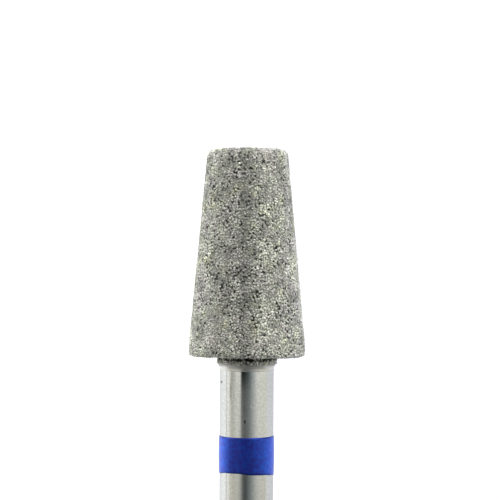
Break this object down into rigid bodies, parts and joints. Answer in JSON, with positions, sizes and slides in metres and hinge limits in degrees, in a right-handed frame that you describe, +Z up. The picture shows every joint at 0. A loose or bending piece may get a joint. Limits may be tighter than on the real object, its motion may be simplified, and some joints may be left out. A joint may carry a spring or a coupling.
{
  "type": "diamond bur",
  "caption": "Tapered flat-ended diamond bur on a straight round handpiece shank, with a blue ring that codes its medium grit; for grinding and shaping.",
  "frame": {"origin": "middle of the bur's outline on the surface that it lies on", "axes": "the bur lies on its side: +X runs from the shank's free end to the tip, +Z is up; the bur's own axis leans 2.19 degrees up from +X, because it rests on the rim of its base and the end of its shank"},
  "size_m": [0.0446, 0.005, 0.0051],
  "materials": {
    "steel": "ground and polished stainless steel",
    "diamond_grit": "rough medium diamond grit in plated nickel",
    "blue_lacquer": "satin baked lacquer"
  },
  "bodies": {
    "root": {"steel_blank": "steel", "diamond_coating": "diamond_grit", "colour_ring": "blue_lacquer"}
  },
  "joints": []
}
